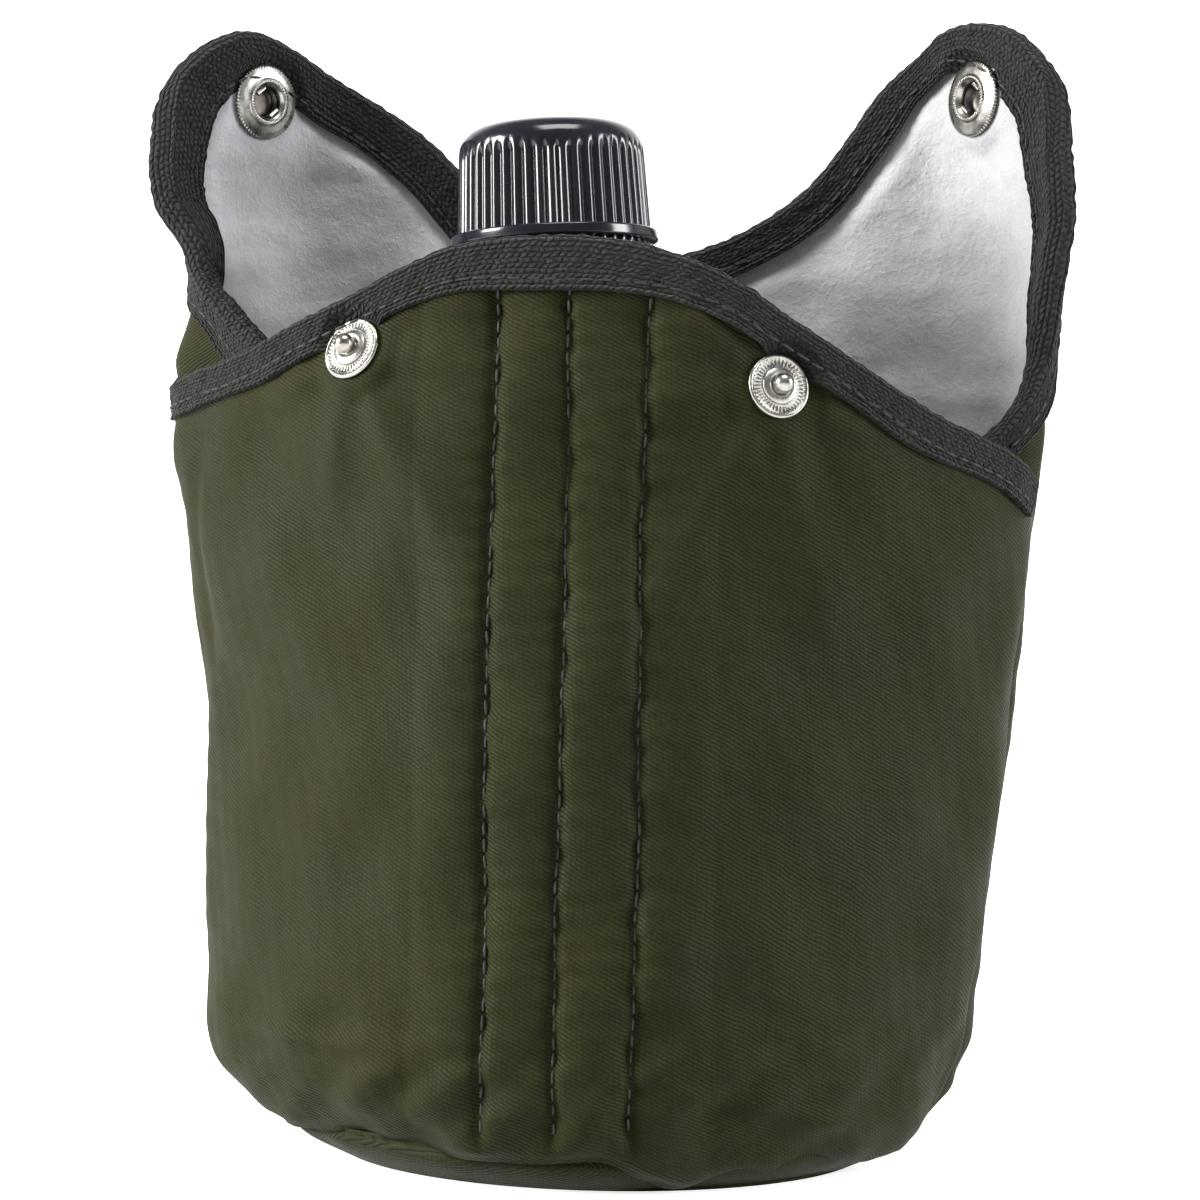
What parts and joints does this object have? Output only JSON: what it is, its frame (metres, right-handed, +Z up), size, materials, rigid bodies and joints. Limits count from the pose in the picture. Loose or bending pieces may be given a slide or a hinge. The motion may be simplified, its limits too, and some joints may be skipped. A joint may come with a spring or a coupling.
{
  "type": "canteen",
  "caption": "Flat kidney-shaped field canteen with a ribbed screw cap, in a quilted nylon cover whose two felt-lined ears fold over the shoulders and close on two press studs at the front.",
  "frame": {"origin": "on the floor under the middle of the cover", "axes": "+Z up, the front with the studs faces -Y, +X to the right seen from the front"},
  "size_m": [0.1751, 0.0877, 0.2172],
  "materials": {
    "nylon": "woven olive nylon with a satin sheen",
    "felt": "brushed felt",
    "webbing": "coarse woven tape",
    "nickel": "bright nickel plate",
    "bottle_plastic": "satin moulded plastic",
    "cap_plastic": "glossy moulded plastic",
    "gasket_rubber": "soft rubber"
  },
  "bodies": {
    "cover": {"front_shell": "nylon", "front_lining": "felt", "front_binding": "webbing", "back_shell": "nylon", "back_lining": "felt", "back_binding": "webbing", "bottom_shell": "nylon", "bottom_lining": "felt", "belt_loop": "webbing", "left_snap_stud": "nickel", "left_stud_eyelet": "nickel", "right_snap_stud": "nickel", "right_stud_eyelet": "nickel"},
    "bottle": {"bottle": "bottle_plastic", "cap_strap": "cap_plastic"},
    "cap_collar": {"cap_ring": "cap_plastic"},
    "cap": {"cap": "cap_plastic", "cap_gasket": "gasket_rubber"},
    "left_flap": {"left_flap_shell": "nylon", "left_flap_lining": "felt", "left_flap_binding": "webbing"},
    "left_tip": {"left_tip_shell": "nylon", "left_tip_lining": "felt", "left_tip_binding": "webbing", "left_snap_socket": "nickel", "left_socket_spring": "nickel", "left_snap_button": "nickel"},
    "right_flap": {"right_flap_shell": "nylon", "right_flap_lining": "felt", "right_flap_binding": "webbing"},
    "right_tip": {"right_tip_shell": "nylon", "right_tip_lining": "felt", "right_tip_binding": "webbing", "right_snap_socket": "nickel", "right_socket_spring": "nickel", "right_snap_button": "nickel"}
  },
  "joints": [
    {"name": "bottle_lift", "type": "slide", "parent": "cover", "child": "bottle", "axis": [-0.03, 0, -0.9996], "range_m": [-0.21, 0]},
    {"name": "cap_lift", "type": "slide", "parent": "bottle", "child": "cap_collar", "axis": [-0.061, 0, 0.9981], "range_m": [0, 0.0166]},
    {"name": "cap_turn", "type": "hinge", "parent": "cap_collar", "child": "cap", "pos_m": [-0.00668, -0.009, 0.18227], "axis": [-0.061, 0, 0.9981], "range_deg": [0, 1080]},
    {"name": "left_flap_fold", "type": "hinge", "parent": "cover", "child": "left_flap", "pos_m": [-0.0067, 0.0226, 0.1518], "axis": [0.9582, 0.2732, 0.0853], "range_deg": [0, 90]},
    {"name": "left_tip_fold", "type": "hinge", "parent": "left_flap", "child": "left_tip", "pos_m": [-0.0632, 0.0219, 0.1917], "axis": [0.5821, 0.5931, 0.5561], "range_deg": [0, 40]},
    {"name": "right_flap_fold", "type": "hinge", "parent": "cover", "child": "right_flap", "pos_m": [0.0097, 0.0235, 0.1529], "axis": [0.9489, -0.2915, -0.121], "range_deg": [0, 94]},
    {"name": "right_tip_fold", "type": "hinge", "parent": "right_flap", "child": "right_tip", "pos_m": [0.0667, 0.0202, 0.1922], "axis": [0.504, -0.6299, -0.5909], "range_deg": [0, 46]}
  ],
  "couplings": [
    {"joint": "cap_lift", "follows": "cap_turn", "m_per_rad": 0.00087535}
  ]
}
